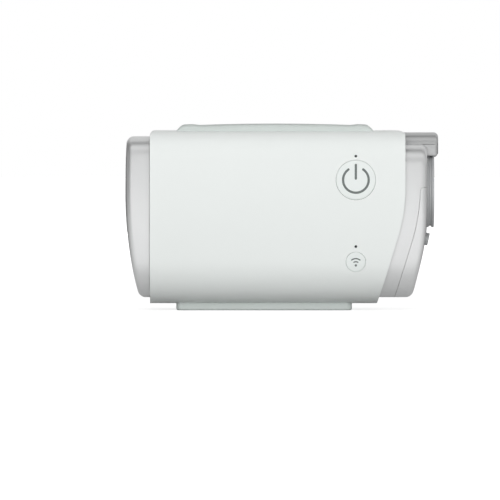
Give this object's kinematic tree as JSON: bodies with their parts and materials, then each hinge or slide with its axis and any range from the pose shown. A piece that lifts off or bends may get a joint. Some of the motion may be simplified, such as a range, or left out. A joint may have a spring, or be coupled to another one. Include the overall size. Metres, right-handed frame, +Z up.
{
  "type": "cpap machine",
  "caption": "Travel-size breathing-pressure unit: white wrapped case, grey ends, round air outlet under a hood, pull-off filter cover, power and wireless buttons.",
  "frame": {"origin": "middle of the overall box, at the underside of the bottom grip pad that it stands on", "axes": "+Z up as in the picture, -Y out of the button face, +X towards the air outlet"},
  "size_m": [0.136, 0.052, 0.081],
  "materials": {
    "case_white": "moulded, satin gloss",
    "button_white": "moulded, satin gloss",
    "end_grey": "moulded, fine satin",
    "panel_grey": "moulded, fine satin",
    "collar_dark": "moulded, satin",
    "seal_rubber": "moulded silicone",
    "boot_silicone": "moulded silicone",
    "contact_gold": "plated",
    "light_smoke": "smoke-tinted, moulded",
    "tube_clear": "milky moulded",
    "pad_soft": "soft-touch",
    "foot_rubber": "moulded",
    "screw_steel": "zinc plated",
    "stator_steel": "laminated",
    "winding_copper": "enamelled copper",
    "board_green": "solder resist",
    "chip_black": "moulded",
    "frame_natural": "unfilled nylon",
    "blower_dark": "glass-filled",
    "foam_dark": "open-cell foam",
    "filter_felt": "electret felt"
  },
  "bodies": {
    "case": {"front_cover": "case_white", "rear_cover": "case_white", "right_end_cap": "end_grey", "port_panel": "panel_grey", "outlet_hood": "end_grey", "outlet_port": "collar_dark", "outlet_seal": "seal_rubber", "power_socket": "collar_dark", "power_contact": "contact_gold", "intake_bulkhead": "end_grey", "power_light_pipe": "light_smoke", "wireless_light_pipe": "light_smoke", "power_switch": "chip_black", "wireless_switch": "chip_black", "status_leds": "contact_gold", "button_board": "board_green", "button_flex": "winding_copper", "top_grip_pad": "pad_soft", "bottom_grip_pad": "pad_soft", "rubber_feet": "foot_rubber", "case_screws": "screw_steel", "chassis": "frame_natural", "main_board": "board_green", "processor": "chip_black", "wireless_module": "screw_steel", "capacitors": "chip_black", "board_connectors": "frame_natural", "board_screws": "screw_steel", "power_lead": "chip_black", "motor_flex": "winding_copper", "pressure_sensor": "chip_black", "pressure_tube": "tube_clear", "muffler_box": "frame_natural", "muffler_foam": "foam_dark", "inlet_duct": "frame_natural", "blower_cover": "blower_dark", "blower_base": "blower_dark", "blower_screws": "screw_steel", "blower_mount": "seal_rubber", "bearings": "screw_steel", "stator_core": "stator_steel", "stator_coils": "winding_copper", "outlet_duct": "boot_silicone"},
    "filter_door": {"filter_cover": "end_grey", "air_filter": "filter_felt"},
    "power_key": {"power_button": "button_white", "power_switch_plunger": "chip_black"},
    "wireless_key": {"wireless_button": "button_white", "wireless_switch_plunger": "chip_black"},
    "rotor": {"impeller": "frame_natural", "motor_shaft": "screw_steel", "rotor_cup": "screw_steel", "magnet_ring": "chip_black"}
  },
  "joints": [
    {"name": "filter_cover_pull", "type": "slide", "parent": "case", "child": "filter_door", "axis": [-1, 0, 0], "range_m": [0, 0.016]},
    {"name": "power_button_press", "type": "slide", "parent": "case", "child": "power_key", "axis": [0, 1, 0], "range_m": [0, 0.0005], "stiffness_N_per_m": 3600},
    {"name": "wireless_button_press", "type": "slide", "parent": "case", "child": "wireless_key", "axis": [0, 1, 0], "range_m": [0, 0.0005], "stiffness_N_per_m": 3000},
    {"name": "impeller_spin", "type": "hinge", "parent": "case", "child": "rotor", "pos_m": [0.008, 0, 0.0345], "axis": [0, 1, 0], "continuous": true}
  ]
}
